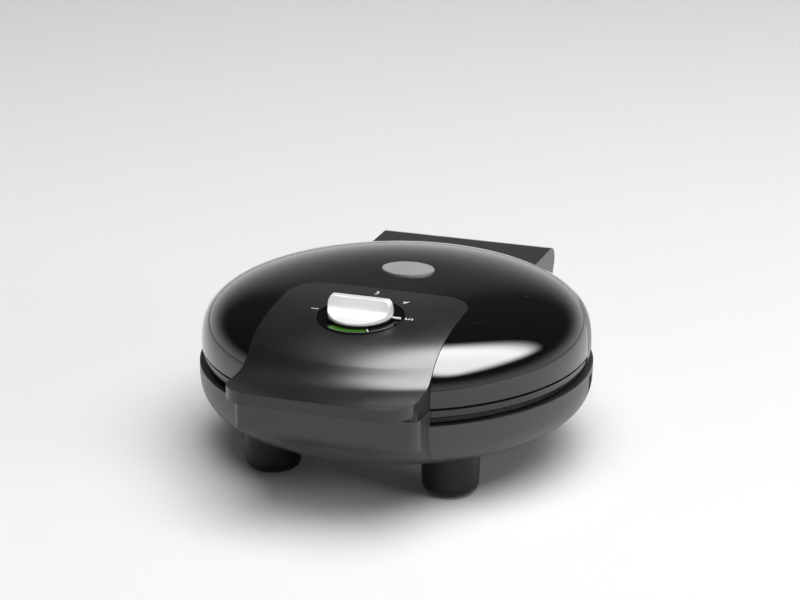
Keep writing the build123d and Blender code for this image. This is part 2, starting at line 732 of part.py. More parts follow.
def lid_cover():
    shell = lid_body() - lid_body(-COVER_WALL)
    shell = shell - block((-far, far), (-far, far), (0, rim + COVER_BOTTOM))
    shell = shell - panel_prism(SEAM_GAP) - rear_region(SEAM_GAP)
    return shell - rod(BADGE_PIN, 0, far, 0, BADGE_Y)


def lid_rim_ring():
    """The frame that the upper plate hangs in, with two raised bands round its outside."""
    low_edge = lid_radius - LID_BOTTOM_TAPER
    flange = upper_face + PLATE_FLANGE
    spigot = lid_radius - COVER_WALL - 0.3
    ring = turned(
        [
            (plate_radius + 0.4, lid_bottom),
            (low_edge, lid_bottom),
            (low_edge + 1.2, rim + LOWER_RING_TOP),
            (low_edge + 0.2, rim + LOWER_RING_TOP),
            (low_edge + 0.2, rim + UPPER_RING_BOTTOM),
            (low_edge + 1.5, rim + UPPER_RING_BOTTOM),
            (low_edge + 2.2, rim + UPPER_RING_TOP),
            (spigot, rim + UPPER_RING_TOP),
            (spigot, rim + COVER_BOTTOM + 4.2),
            (spigot - 1.8, rim + COVER_BOTTOM + 4.2),
            (spigot - 1.8, flange + 2.2),
            (plate_radius - 4.8, flange + 2.2),
            (plate_radius - 4.8, flange),
            (plate_radius + 0.4, flange),
        ]
    )
    width = PANEL_HALF_WIDTH + 0.4
    front = block((-width, width), (-far, 0), (0, far))
    ring = ring - (front - rod(base_radius - BASE_WALL - 0.4, 0, far))
    ring = ring - (front & block((-far, far), (-far, 0), (rim + COVER_BOTTOM - 0.2, far)))
    rear = rear_region(SEAM_GAP)
    ring = ring - (rear - lid_body(-COVER_WALL - 0.2))
    ring = ring - (rear & block((-far, far), (-far, far), (flange + 2.2, far)))
    for x in (-REAR_SCREW_OFFSET, REAR_SCREW_OFFSET):
        boss = block((x - 4, x + 4), (plate_radius - 6.0, far), (flange, flange + 8.0))
        ring = ring + (boss & lid_body(-COVER_WALL - SEAT_GAP))
        ring = ring - rod_along_y(SMALL_SCREW_RADIUS + SCREW_FIT, 80, far, x, flange + 4.8)
    for place in around(SCREW_ANGLES, plate_screw_ring):
        ring = ring - place * rod(SMALL_SCREW_RADIUS + 0.2, flange - 1, flange + 3)
    return ring


def upper_plate_screws():
    seat = upper_face + PLATE_FLANGE + 2.2
    one = Pos(0, 0, seat) * Rot(180, 0, 0) * screw(SMALL_SCREW_RADIUS, 2.4, 2.0, 4.2)
    return group([place * one for place in around(SCREW_ANGLES, plate_screw_ring)])


def handle_screw_places():
    return [Pos(side * (PANEL_HALF_WIDTH - 16.0), handle_y + 12.0, 0) for side in (-1, 1)]


def lip_bottom():
    return rim + LIP_TOP - LIP_THICKNESS


def front_panel():
    """The panel over the dome's front, its skirts, and the lip that lifts the lid."""
    inset = PANEL_SKIN - 0.2
    panel = panel_body() & panel_prism()
    panel = panel - block((-far, far), (-far, apron_y), (0, lip_bottom()))
    cavity = panel_body(PANEL_SKIN) & panel_prism(-inset)
    panel = panel - cavity
    deep = lid_body(-8.0) & rod(plate_radius + 1.0, 0, far)
    panel = panel - deep
    panel = panel + (dial_seat() & panel_body(0.5))
    for place in handle_screw_places():
        post = place * rod(3.4, lip_bottom() + 2.8, far) & panel_body(1.0)
        panel = panel + post
        panel = panel - place * rod(SMALL_SCREW_RADIUS + SCREW_FIT, 0, rim + LIP_TOP - 1.4)
    hole = dial_frame() * rod(DIAL_RADIUS + SEAT_GAP, -DIAL_SINK - DIAL_THICKNESS, 20)
    through = dial_frame() * rod(DIAL_RADIUS - 2.0, -40, 0)
    return panel - hole - through


def dial_seat():
    """The collar under the panel that the dial ring drops into."""
    floor = -DIAL_SINK - DIAL_THICKNESS
    return dial_frame() * (rod(DIAL_RADIUS + 2.0, floor - 1.2, 0) - rod(DIAL_RADIUS - 2.0, -20, 20))


def handle_lower_cover():
    """Closes the handle from below and meets the top of the base's front boss."""
    inset = PANEL_SKIN - 0.2 + SEAT_GAP
    low = rim + COVER_BOTTOM
    lip = lip_bottom()
    rear = apron_y + 2.0
    face = panel_prism(-inset, low, lip + 1.8) - rod(lid_radius - COVER_WALL + 0.2, 0, far)
    face = face - block((-far, far), (-far, apron_y), (0, lip))
    cover = face - block((-far, far), (rear, 0), (low + 1.6, far))
    for place in handle_screw_places():
        cover = cover + place * rod(5.0, lip, lip + 2.8)
        cover = cover - place * rod(SMALL_SCREW_RADIUS + 0.2, 0, far)
        cover = cover - place * rod(3.1, 0, lip + 1.6)
    return cover


def handle_screws():
    seat = lip_bottom() + 1.6
    one = Pos(0, 0, seat) * screw(SMALL_SCREW_RADIUS, 2.8, 1.4, rim + LIP_TOP - 1.6 - seat)
    return group([place * one for place in handle_screw_places()])


def hinge_side(inset=0.0):
    """The hinge block from the side above its open underside, rounded at its rear top edge."""
    lean = HINGE_LEAN * pi / 180
    low = hinge_z + 1.0
    top = block_top - inset
    rear = hinge_y + HINGE_FACE - inset / cos(lean)
    corner = (rear + (top - low) * sin(lean) / cos(lean), top)
    front = lid_radius - 20
    face = make_face(Polyline((front, low), (front, top), corner, (rear, low), close=True))
    edge = face.vertices().group_by(Axis.Y)[-1].sort_by(Axis.X)[-1]
    return fillet(edge, HINGE_BLOCK_ROUND - inset)


def hinge_block_outside():
    solid = extrude(Plane.YZ * hinge_side(), HINGE_HALF_WIDTH, both=True)
    solid = solid & block((-far, far), (0, hinge_back), (0, far))
    ends = profile_along_x(
        [
            (lid_radius - 20, hinge_z + 2.0),
            (lid_radius - 20, lid_bottom + 0.2),
            (hinge_y - 9.0, lid_bottom + 0.2),
            (hinge_y + 3.0, hinge_z - HINGE_END_RADIUS + 0.4),
            (hinge_y + HINGE_FACE, hinge_z + 1.0),
            (hinge_y + HINGE_FACE, hinge_z + 2.0),
        ],
        HINGE_HALF_WIDTH,
    )
    disc = rod_along_x(HINGE_END_RADIUS, -HINGE_HALF_WIDTH, HINGE_HALF_WIDTH, hinge_y, hinge_z)
    return solid + ends + disc


def hinge_block_inside():
    """The hollow of the hinge block, open below and behind its lower edge."""
    half = HINGE_HALF_WIDTH - HINGE_WALL
    hollow = extrude(Plane.YZ * hinge_side(HINGE_WALL), half, both=True)
    return hollow + block((-half, half), (0, far), (0, hinge_z + 1.6))


def knuckle(low, high):
    plate = rod_along_x(EAR_RADIUS, low, high, hinge_y, hinge_z)
    web = block((low, high), (hinge_y - EAR_RADIUS, hinge_y + EAR_RADIUS), (hinge_z, block_top - 1.0))
    return plate + web


def knuckle_spans():
    inner = (EAR_INNER - KNUCKLE_GAP - KNUCKLE, EAR_INNER - KNUCKLE_GAP)
    outer = (EAR_OUTER + KNUCKLE_GAP, EAR_OUTER + KNUCKLE_GAP + KNUCKLE)
    return inner, outer


def rear_cover():
    """The lid's rear shell with the hinge block and its knuckles."""
    shell = (lid_body() - lid_body(-COVER_WALL)) & rear_region()
    hinge = hinge_block_outside() - hinge_block_inside() - lid_body(-COVER_WALL)
    cover = shell + hinge
    for low, high in knuckle_spans():
        plate = knuckle(low, high) & hinge_block_outside()
        cover = cover + plate + plate.mirror(Plane.YZ)
    reach = EAR_OUTER + KNUCKLE_GAP + KNUCKLE + 0.5
    cover = cover - rod_along_x(PIN_RADIUS + 0.02, -reach, reach, hinge_y, hinge_z)
    high = sleeve_high
    cover = cover - rod_along_y(SLEEVE_RADIUS + 0.4, lid_radius - 30, hinge_y - 4, SLEEVE_RUN, high)
    slot = (-SLEEVE_RUN - 5.5, -SLEEVE_RUN + 5.5)
    cover = cover - block(slot, (hinge_y + 5, far), (0, hinge_z + 10.0))
    z = rear_screw_z
    for x in (-REAR_SCREW_OFFSET, REAR_SCREW_OFFSET):
        cover = cover - rod_along_y(SMALL_SCREW_RADIUS + 0.2, 80, lid_radius, x, z)
        cover = cover - rod_along_y(3.4, rear_screw_seat(), lid_radius + 6.0, x, z)
    return cover


def rear_screw_seat():
    return sqrt(lid_radius**2 - REAR_SCREW_OFFSET**2) - 1.4


def rear_cover_screws():
    z = rear_screw_z
    one = Rot(90, 0, 0) * screw(SMALL_SCREW_RADIUS, 2.8, 2.0, 8.0)
    return group([Pos(x, rear_screw_seat(), z) * one for x in (-REAR_SCREW_OFFSET, REAR_SCREW_OFFSET)])


def hinge_pin(side):
    """A steel pin through one ear of the base, headed outside and grooved for its clip."""
    inner, outer = knuckle_spans()
    pin = rod_along_x(PIN_RADIUS, inner[0] - 2.6, outer[1], hinge_y, hinge_z)
    pin = pin + rod_along_x(PIN_RADIUS + 1.5, outer[1], outer[1] + 1.4, hinge_y, hinge_z)
    groove = rod_along_x(PIN_RADIUS + 1, inner[0] - 1.3, inner[0] - 0.4, hinge_y, hinge_z)
    groove = groove - rod_along_x(PIN_RADIUS - 0.6, 0, far, hinge_y, hinge_z)
    pin = pin - groove
    return pin if side > 0 else pin.mirror(Plane.YZ)


def hinge_clips():
    inner = knuckle_spans()[0]
    clip = rod_along_x(PIN_RADIUS + 2.0, inner[0] - 1.25, inner[0] - 0.45, hinge_y, hinge_z)
    clip = clip - rod_along_x(PIN_RADIUS - 0.6, 0, far, hinge_y, hinge_z)
    clip = clip - block((0, far), (hinge_y - 1.2, hinge_y + 1.2), (hinge_z, far))
    return group([clip, clip.mirror(Plane.YZ)])


def badge():
    """A plain oval plate on the dome, with the pin that locates it."""
    plan = Pos(0, BADGE_Y) * Ellipse(BADGE_HALF_WIDTH, BADGE_HALF_DEPTH)
    disc = extrude(plan, far) & (lid_body(BADGE_THICKNESS) - lid_body())
    pin = rod(BADGE_PIN - 0.1, lid_top - COVER_WALL, lid_top + 0.5, 0, BADGE_Y)
    return disc + pin


# Dial, lamps, thermostat and knob, in the dial's own frame


def arc_ring(inner, outer, low, high, start, end):
    ring = rod(outer, low, high) - rod(inner, low - 1, high + 1)
    turns = [angle * pi / 180 for angle in (start, (start + end) / 2, end)]
    corners = [(2 * outer * cos(turn), 2 * outer * sin(turn)) for turn in turns]
    wedge = extrude(make_face(Polyline((0, 0), *corners, close=True)), high - low + 2)
    return ring & Pos(0, 0, low - 1) * wedge


def dial_ring():
    low = -DIAL_SINK - DIAL_THICKNESS
    ring = rod(DIAL_RADIUS, low, -DIAL_SINK) - rod(SHAFT_RADIUS + 0.6, low - 1, 0)
    lip = rod(DIAL_RADIUS, low, -DIAL_SINK + 0.4) - rod(DIAL_RADIUS - 0.4, low - 1, 0)
    ring = ring + lip
    for start, end in LENS_ARCS.values():
        gap = degrees(atan2(SEAT_GAP, LENS_OUTER))
        slot = arc_ring(LENS_INNER - SEAT_GAP, LENS_OUTER + SEAT_GAP, low - 1, 1, start - gap, end + gap)
        ring = ring - slot
    return dial_frame() * ring


def lens(name):
    start, end = LENS_ARCS[name]
    low = -DIAL_SINK - DIAL_THICKNESS
    return dial_frame() * arc_ring(LENS_INNER, LENS_OUTER, low, -DIAL_SINK + 0.2, start, end)


def lamp_places():
    angles = [(start + end) / 2 for start, end in LENS_ARCS.values()]
    z = -DIAL_SINK - DIAL_THICKNESS - 2.4
    return [dial_frame() * Rot(0, 0, angle) * Pos(LENS_INNER - 0.8, 0, z) for angle in angles]


def indicator_lamps():
    lamp = rod_along_y(1.9, -4.5, 4.5, 0, 0) + rod_along_y(0.4, -6.5, 6.5, 0, 0)
    return group([place * lamp for place in lamp_places()])


def lamp_holder():
    """A carrier under the dial ring with a cradle for each lamp."""
    low = -DIAL_SINK - DIAL_THICKNESS
    plate = arc_ring(LENS_INNER - 8.0, LENS_INNER - 2.8, low - 1.4, low, -130, -10)
    holder = dial_frame() * plate
    for place in lamp_places():
        cradle = place * block((-6.0, 2.8), (-3.0, 3.0), (-3.0, 1.0))
        cradle = cradle - place * rod_along_y(1.95, -9, 9, 0, 0)
        cradle = cradle - place * block((-1.95, 1.95), (-9, 9), (0, 9))
        holder = holder + cradle
    return holder


def shield_floor():
    return upper_shield_bottom + SHIELD_SHEET


def thermostat_bracket():
    """A bridge on the upper shield that holds the thermostat under the dial."""
    plate = block((-17, 17), (-10, 10), (-16.2, -15.2))
    for x in (-17, 16):
        plate = plate + block((x, x + 1), (-10, 10), (-30, -15.2))
    plate = plate - rod(SHAFT_RADIUS + 1, -20, 0)
    floor = block((-far, far), (-far, far), (-far, shield_floor()))
    return dial_frame() * plate - floor


def thermostat_body():
    body = block((-13, 13), (-9, 9), (-15.2, -9.0)) + rod(6.0, -9.0, -7.4)
    for x in (-9, 9):
        body = body + block((x - 3, x + 3), (9, 13), (-14.0, -13.2))
    body = body - rod(SHAFT_RADIUS + RUNNING_FIT, -14.0, 0)
    return dial_frame() * body


def thermostat_shaft():
    shaft = rod(SHAFT_RADIUS, -13.6, KNOB_HEIGHT - 3.2) - block((-5, 5), (1.8, 5), (1, 20))
    return dial_frame() * shaft


def shaft_clip():
    return dial_frame() * (rod(SHAFT_RADIUS + 2.0, -7.2, -6.4) - rod(SHAFT_RADIUS + 0.02, -20, 20))


def knob_skirt():
    skirt = rod(LENS_INNER - 0.5, -DIAL_SINK + 0.3, 1.0)
    nib = block((LENS_INNER - 4.0, LENS_OUTER - 0.2), (-0.6, 0.6), (0.3, 2))
    return dial_frame() * (skirt - nib - rod(SHAFT_RADIUS + 0.02, -5, 5))


def knob_pointer():
    """The white mark that turns with the knob and reads against the dial's numbers."""
    return dial_frame() * block((LENS_INNER - 4.0, LENS_OUTER - 0.2), (-0.55, 0.55), (0.3, 1.0))


def knob_cap():
    """A round cap scooped away in front and behind, which leaves a ridge to turn it by."""
    shoulder = KNOB_HEIGHT - RIDGE_END_ROUND
    side = (KNOB_RADIUS, shoulder)
    crown = (RIDGE_HALF_LENGTH, KNOB_HEIGHT)
    middle = (KNOB_RADIUS * 0.71 + RIDGE_HALF_LENGTH * 0.29, shoulder * 0.29 + KNOB_HEIGHT * 0.71)
    arc = ThreePointArc(side, middle, crown)
    sides = Polyline(crown, (0, KNOB_HEIGHT), (0, 1), (KNOB_RADIUS, 1), side)
    cap = revolve(Plane.XZ * make_face(arc + sides))
    ridge = -RIDGE_WIDTH / 2
    top = KNOB_HEIGHT + 0.5
    crease = (-SCOOP_CREASE, KNOB_HEIGHT * 0.31)
    edge = (-KNOB_RADIUS - 1, KNOB_HEIGHT * 0.19)
    wall = [(ridge, top), (ridge - 0.6, KNOB_HEIGHT * 0.76), (ridge - 2.0, KNOB_HEIGHT * 0.47), crease]
    scoop = Spline(*wall, tangents=[(-0.05, -1), (-1, -0.45)])
    outline = scoop + Polyline(crease, edge, (edge[0], top), (ridge, top))
    cut = extrude(Plane.YZ * make_face(outline), far, both=True)
    cap = cap - cut - cut.mirror(Plane.XZ)
    bore = rod(SHAFT_RADIUS + 0.02, 0, KNOB_HEIGHT - 3.0) - block((-5, 5), (1.82, 5), (1, 20))
    return dial_frame() * (cap - bore)


def lid_leads():
    """Leads from the lid's sleeve to the thermostat, and on to the ends of the upper heater."""
    x, y = heater_end()
    z = shield_floor() + 4.5
    terminals = -DIAL_Y + 14.0
    sleeve_end = lid_radius - 12.0
    run = sleeve_high
    entry = [(SLEEVE_RUN, sleeve_end, run), (SLEEVE_RUN, sleeve_end - 4, run)]
    drop = (SLEEVE_RUN, sleeve_end - 9, z)
    shapes = [wire([*entry, drop, (5, 60, z), (5, terminals, z)], 1.1, 2.0)]
    for side in (-1, 1):
        start = (side * 9, terminals, z)
        corner = (side * 9, terminals + 6, z)
        shapes.append(wire([start, corner, (side * x, terminals + 6, z), (side * x, 1.6 - y, z)], 1.1, 2.0))
    return group(shapes)


def build():
    parts = {
        "base_shell": base_shell(),
        "base_trim_ring": base_trim_ring(),
        "foot_screws": foot_screws(),
        "lower_plate": lower_plate(),
        "lower_plate_screws": lower_plate_screws(),
        "lower_element": in_base(element()),
        "lower_element_clamps": group([in_base(place * element_clamp()) for place in clamp_places()]),
        "lower_clamp_screws": in_base(clamp_screws()),
        "lower_heat_shield": in_base(heat_shield()) - terminal_cutout(),
        "lower_shield_screw": Pos(0, 0, -0.8) * in_base(shield_screw()),
        "earth_tag": earth_tag(),
        "terminal_block": terminal_block(),
        "thermal_fuse": thermal_fuse(),
        "base_leads": base_leads(),
        "cord_gland": cord_gland(),
        "cord_clamp": cord_clamp(),
        "cord_clamp_screws": cord_clamp_screws(),
        "lead_sleeve_lower": lead_sleeve_lower(),
        "lid_cover": lid_cover(),
        "lid_rim_ring": lid_rim_ring(),
        "front_panel": front_panel(),
        "handle_lower_cover": handle_lower_cover(),
        "handle_screws": handle_screws(),
        "rear_cover": rear_cover(),
        "rear_cover_screws": rear_cover_screws(),
        "hinge_pin_left": hinge_pin(-1),
        "hinge_pin_right": hinge_pin(1),
        "hinge_clips": hinge_clips(),
        "upper_plate": upper_plate(),
        "upper_plate_screws": upper_plate_screws(),
        "upper_element": in_lid(element()),
        "upper_element_clamps": group([in_lid(place * element_clamp()) for place in clamp_places()]),
        "upper_clamp_screws": in_lid(clamp_screws()),
        "upper_heat_shield": in_lid(heat_shield()),
        "upper_shield_screw": in_lid(shield_screw()),
        "badge": badge(),
        "dial_ring": dial_ring(),
        "green_lens": lens("green_lens"),
        "clear_lens": lens("clear_lens"),
        "indicator_lamps": indicator_lamps(),
        "lamp_holder": lamp_holder(),
        "thermostat_bracket": thermostat_bracket(),
        "thermostat_body": thermostat_body(),
        "lid_leads": lid_leads(),
        "lead_sleeve_upper": lead_sleeve_upper(),
        "thermostat_shaft": thermostat_shaft(),
        "shaft_clip": shaft_clip(),
        "knob_skirt": knob_skirt(),
        "knob_pointer": knob_pointer(),
        "knob_cap": knob_cap(),
    }
    for name, (x, y) in foot_places().items():
        parts["foot_" + name] = foot(x, y)
        parts["foot_pad_" + name] = foot_pad(x, y)
    return parts


os.makedirs("parts", exist_ok=True)
for name, shape in build().items():
    export_step(shape, "parts/" + name + ".step")
    print(name, len(shape.solids()), round(shape.volume))
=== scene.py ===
import bpy
import bmesh
import json
from math import atan2, cos, pi, radians, sin, sqrt
from mathutils import Matrix, Vector

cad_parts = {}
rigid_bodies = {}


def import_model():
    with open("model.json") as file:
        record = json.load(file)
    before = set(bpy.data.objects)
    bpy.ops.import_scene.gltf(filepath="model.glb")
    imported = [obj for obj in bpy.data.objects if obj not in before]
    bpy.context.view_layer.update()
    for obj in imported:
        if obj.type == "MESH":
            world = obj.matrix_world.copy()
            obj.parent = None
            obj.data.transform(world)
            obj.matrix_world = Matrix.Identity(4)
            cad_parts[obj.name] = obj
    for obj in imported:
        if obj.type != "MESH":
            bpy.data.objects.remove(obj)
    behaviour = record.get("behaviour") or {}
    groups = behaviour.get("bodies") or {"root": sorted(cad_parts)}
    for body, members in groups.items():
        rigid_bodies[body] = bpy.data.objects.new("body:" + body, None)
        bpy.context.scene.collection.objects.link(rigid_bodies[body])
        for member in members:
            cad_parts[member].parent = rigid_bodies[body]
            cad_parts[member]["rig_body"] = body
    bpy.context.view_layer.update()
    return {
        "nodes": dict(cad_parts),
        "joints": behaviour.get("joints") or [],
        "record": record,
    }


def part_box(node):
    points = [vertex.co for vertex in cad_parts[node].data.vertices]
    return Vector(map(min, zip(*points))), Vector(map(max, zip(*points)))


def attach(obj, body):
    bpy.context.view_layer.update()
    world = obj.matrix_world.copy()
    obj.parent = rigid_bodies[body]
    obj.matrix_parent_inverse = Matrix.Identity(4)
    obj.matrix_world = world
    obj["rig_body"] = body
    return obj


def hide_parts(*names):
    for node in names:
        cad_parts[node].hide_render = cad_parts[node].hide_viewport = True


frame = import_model()
nodes = frame["nodes"]
joints = {joint["name"]: joint for joint in frame["joints"]}
scene = bpy.context.scene
mm = 0.001
print("frame loaded:", len(nodes), "pieces")

# Places that the looks are hung on, read from the frame
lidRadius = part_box("lid_cover")[1].x
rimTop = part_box("base_trim_ring")[1].z
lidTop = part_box("lid_cover")[1].z
dialCentre = Vector(joints["knob_turn"]["pos_m"])
dialAxis = Vector(joints["knob_turn"]["axis"]).normalized()
dialTilt = atan2(-dialAxis.y, dialAxis.z)
dialFrame = Matrix.Translation(dialCentre) @ Matrix.Rotation(dialTilt, 4, "X")


# Curves that the casing follows

casing = {
    "equatorAboveRim": 7.6 * mm,
    "domeRound": 4.1,
    "domeFlat": 3.3,
    "panelProud": 0.4 * mm,
}
equator = rimTop + casing["equatorAboveRim"]


def domeHeight(distance, grow=0.0):
    rise = lidTop - equator + grow
    share = min(distance / (lidRadius + grow), 1.0) ** casing["domeRound"]
    return equator + rise * (1 - share) ** (1 / casing["domeFlat"])


def domeNormal(point, grow=0.0):
    # the outward direction of the dome at a point on it
    distance = max(sqrt(point.x ** 2 + point.y ** 2), 1e-6)
    n, m = casing["domeRound"], casing["domeFlat"]
    rise = lidTop - equator + grow
    out = (distance / (lidRadius + grow)) ** (n - 1) * n / (lidRadius + grow)
    height = max((point.z - equator) / rise, 0.0)
    up = height ** (m - 1) * m / rise
    return Vector((point.x / distance * out, point.y / distance * out, up)).normalized()


# Materials

def newMaterial(name):
    material = bpy.data.materials.new(name)
    material.use_nodes = True
    tree = material.node_tree
    tree.nodes.clear()
    output = tree.nodes.new("ShaderNodeOutputMaterial")
    shader = tree.nodes.new("ShaderNodeBsdfPrincipled")
    output.location = (400, 0)
    tree.links.new(shader.outputs[0], output.inputs[0])
    return material, tree, shader


def addNode(tree, kind, x, y, **inputs):
    node = tree.nodes.new(kind)
    node.location = (x, y)
    for key, value in inputs.items():
        node.inputs[key.replace("_", " ")].default_value = value
    return node


def addMap(tree, source, low, high, newLow, newHigh, x, y):
    node = addNode(tree, "ShaderNodeMapRange", x, y)
    for index, value in ((1, low), (2, high), (3, newLow), (4, newHigh)):
        node.inputs[index].default_value = value
    tree.links.new(source, node.inputs[0])
    return node.outputs[0]


def addTone(tree, source, dark, light, x, y):
    ramp = addNode(tree, "ShaderNodeValToRGB", x, y)
    ramp.color_ramp.elements[0].color = (*dark, 1)
    ramp.color_ramp.elements[1].color = (*light, 1)
    tree.links.new(source, ramp.inputs[0])
    return ramp.outputs[0]


def addBump(tree, shader, source, height, x, y):
    bump = addNode(tree, "ShaderNodeBump", x, y, Strength=1.0, Distance=height)
    tree.links.new(source, bump.inputs["Height"])
    tree.links.new(bump.outputs[0], shader.inputs["Normal"])


def moulded(name, look):
    # a moulded plastic: eroded-tool grain, a slow drift of tone and hairline wear in the gloss
    material, tree, shader = newMaterial(name)
    where = addNode(tree, "ShaderNodeTexCoord", -1200, 0).outputs["Object"]
    grain = addNode(tree, "ShaderNodeTexNoise", -900, -200, Scale=look["grain"], Detail=4.0, Roughness=0.6)
    drift = addNode(tree, "ShaderNodeTexNoise", -900, 100, Scale=28.0, Detail=3.0)
    rub = addNode(tree, "ShaderNodeTexNoise", -900, 350, Scale=45.0, Detail=3.0, Roughness=0.5)
    for node in (grain, drift, rub):
        tree.links.new(where, node.inputs["Vector"])
    tone = addMap(tree, drift.outputs[0], 0.3, 0.7, 1 - look["toneDrift"], 1 + look["toneDrift"], -650, 100)
    tint = addNode(tree, "ShaderNodeVectorMath", -400, 100)
    tint.operation = "SCALE"
    tint.inputs[0].default_value = look["colour"]
    tree.links.new(tone, tint.inputs["Scale"])
    tree.links.new(tint.outputs[0], shader.inputs["Base Color"])
    low, high = look["roughness"]
    tree.links.new(addMap(tree, rub.outputs[0], 0.3, 0.7, low, high, -400, 350), shader.inputs["Roughness"])
    shader.inputs["Specular IOR Level"].default_value = look.get("specular", 0.5)
    shader.inputs["Coat Weight"].default_value = look.get("coat", 0.0)
    shader.inputs["Coat Roughness"].default_value = look.get("coatRoughness", 0.03)
    shader.inputs["Metallic"].default_value = look.get("metallic", 0.0)
    addBump(tree, shader, grain.outputs[0], look["relief"], -300, -300)
    return material


def metal(name, look):
    # a metal with the lines of its finish along one axis
    material, tree, shader = newMaterial(name)
    where = addNode(tree, "ShaderNodeTexCoord", -1300, 0).outputs["Object"]
    stretch = addNode(tree, "ShaderNodeMapping", -1100, 0)
    stretch.inputs["Scale"].default_value = look["lines"]
    tree.links.new(where, stretch.inputs["Vector"])
    lines = addNode(tree, "ShaderNodeTexNoise", -850, 0, Scale=1.0, Detail=6.0, Roughness=0.65)
    tree.links.new(stretch.outputs[0], lines.inputs["Vector"])
    stain = addNode(tree, "ShaderNodeTexNoise", -850, 300, Scale=90.0, Detail=4.0)
    tree.links.new(where, stain.inputs["Vector"])
    tone = addTone(tree, stain.outputs[0], look["dark"], look["light"], -500, 250)
    tree.links.new(tone, shader.inputs["Base Color"])
    low, high = look["roughness"]
    tree.links.new(addMap(tree, lines.outputs[0], 0.3, 0.7, low, high, -500, 0), shader.inputs["Roughness"])
    shader.inputs["Metallic"].default_value = look.get("metallic", 1.0)
    addBump(tree, shader, lines.outputs[0], look["relief"], -300, -300)
    return material


glossBlack = moulded("glossBlack", {
    "colour": (0.0035, 0.0035, 0.0037),
    "grain": 900.0,
    "relief": 0.00005 * mm,
    "toneDrift": 0.05,
    "roughness": (0.035, 0.06),
    "specular": 0.5,
    "coat": 0.6,
})
satinBlack = moulded("satinBlack", {
    "colour": (0.011, 0.011, 0.0113),
    "grain": 3800.0,
    "relief": 0.0009 * mm,
    "toneDrift": 0.06,
    "roughness": (0.27, 0.31),
    "specular": 0.62,
})
satinGrey = moulded("satinGrey", {
    "colour": (0.034, 0.034, 0.035),
    "grain": 3800.0,
    "relief": 0.0009 * mm,
    "toneDrift": 0.05,
    "roughness": (0.3, 0.38),
    "specular": 0.6,
})
bandGrey = moulded("bandGrey", {
    "colour": (0.01, 0.01, 0.0103),
    "grain": 3000.0,
    "relief": 0.0004 * mm,
    "toneDrift": 0.05,
    "roughness": (0.2, 0.28),
    "specular": 0.6,
})
trimBlack = moulded("trimBlack", {
    "colour": (0.003, 0.003, 0.0032),
    "grain": 2600.0,
    "relief": 0.0008 * mm,
    "toneDrift": 0.08,
    "roughness": (0.35, 0.45),
})
footBlack = moulded("footBlack", {
    "colour": (0.0045, 0.0045, 0.0047),
    "grain": 3200.0,
    "relief": 0.0015 * mm,
    "toneDrift": 0.08,
    "roughness": (0.3, 0.36),
    "specular": 0.28,
})
dialBlack = moulded("dialBlack", {
    "colour": (0.004, 0.004, 0.0042),
    "grain": 1500.0,
    "relief": 0.0002 * mm,
    "toneDrift": 0.05,
    "roughness": (0.08, 0.12),
})
knobSilver = moulded("knobSilver", {
    "colour": (0.9, 0.905, 0.91),
    "grain": 5200.0,
    "relief": 0.0002 * mm,
    "toneDrift": 0.015,
    "roughness": (0.3, 0.33),
    "metallic": 0.2,
    "specular": 0.5,
})
printWhite = moulded("printWhite", {
    "colour": (0.86, 0.86, 0.85),
    "grain": 6000.0,
    "relief": 0.0004 * mm,
    "toneDrift": 0.03,
    "roughness": (0.45, 0.6),
})
padRubber = moulded("padRubber", {
    "colour": (0.018, 0.018, 0.018),
    "grain": 1800.0,
    "relief": 0.005 * mm,
    "toneDrift": 0.15,
    "roughness": (0.7, 0.85),
    "specular": 0.3,
})
leadRubber = moulded("leadRubber", {
    "colour": (0.022, 0.021, 0.02),
    "grain": 1500.0,
    "relief": 0.004 * mm,
    "toneDrift": 0.12,
    "roughness": (0.5, 0.65),
    "specular": 0.35,
})
ceramicCream = moulded("ceramicCream", {
    "colour": (0.62, 0.58, 0.48),
    "grain": 900.0,
    "relief": 0.002 * mm,
    "toneDrift": 0.08,
    "roughness": (0.4, 0.55),
})
screwZinc = metal("screwZinc", {
    "lines": (900, 900, 120),
    "dark": (0.46, 0.47, 0.5),
    "light": (0.7, 0.7, 0.68),
    "roughness": (0.25, 0.42),
    "relief": 0.0008 * mm,
})
sheetSteel = metal("sheetSteel", {
    "lines": (2200, 60, 800),
    "dark": (0.55, 0.55, 0.56),
    "light": (0.74, 0.74, 0.73),
    "roughness": (0.28, 0.42),
    "relief": 0.0006 * mm,
})
heaterSteel = metal("heaterSteel", {
    "lines": (700, 700, 700),
    "dark": (0.2, 0.17, 0.15),
    "light": (0.42, 0.4, 0.38),
    "roughness": (0.4, 0.6),
    "relief": 0.002 * mm,
})
badgeSilver = metal("badgeSilver", {
    "lines": (60, 4200, 800),
    "dark": (0.5, 0.5, 0.5),
    "light": (0.6, 0.6, 0.6),
    "roughness": (0.34, 0.46),
    "relief": 0.0006 * mm,
    "metallic": 0.9,
})


